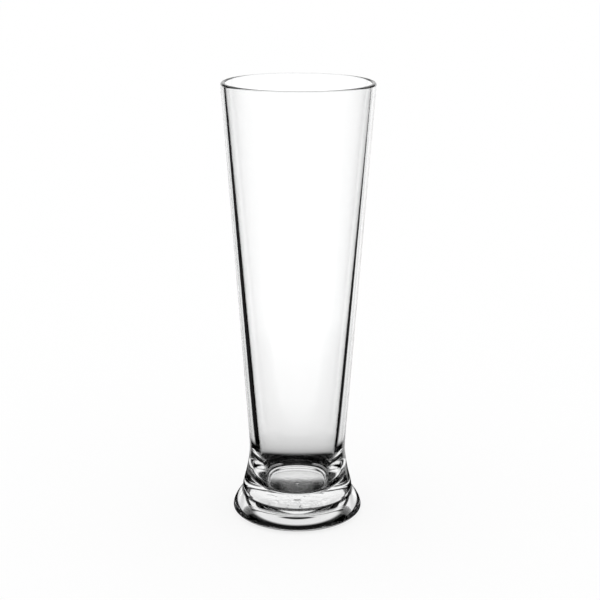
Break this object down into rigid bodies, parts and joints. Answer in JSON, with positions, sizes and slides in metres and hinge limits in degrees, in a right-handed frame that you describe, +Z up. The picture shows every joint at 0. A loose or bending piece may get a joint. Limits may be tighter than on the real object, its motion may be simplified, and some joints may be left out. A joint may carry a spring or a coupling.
{
  "type": "beer glass",
  "caption": "Tall footed beer glass: a straight tapered bowl over a waist, a heavy bell-shaped base and a wide round foot, for serving a large beer.",
  "frame": {"origin": "on the glass's axis, at the level of the table that the foot's ring stands on", "axes": "+Z up along the axis towards the rim; the glass is round, so +X and +Y are any two square directions"},
  "size_m": [0.071, 0.071, 0.21],
  "materials": {
    "bowl_glass": "clear and smooth, with a rounded fire-polished rim",
    "foot_glass": "clear and smooth, with a lightly wavy pressed underside"
  },
  "bodies": {
    "root": {"bowl": "bowl_glass", "foot": "foot_glass"}
  },
  "joints": []
}
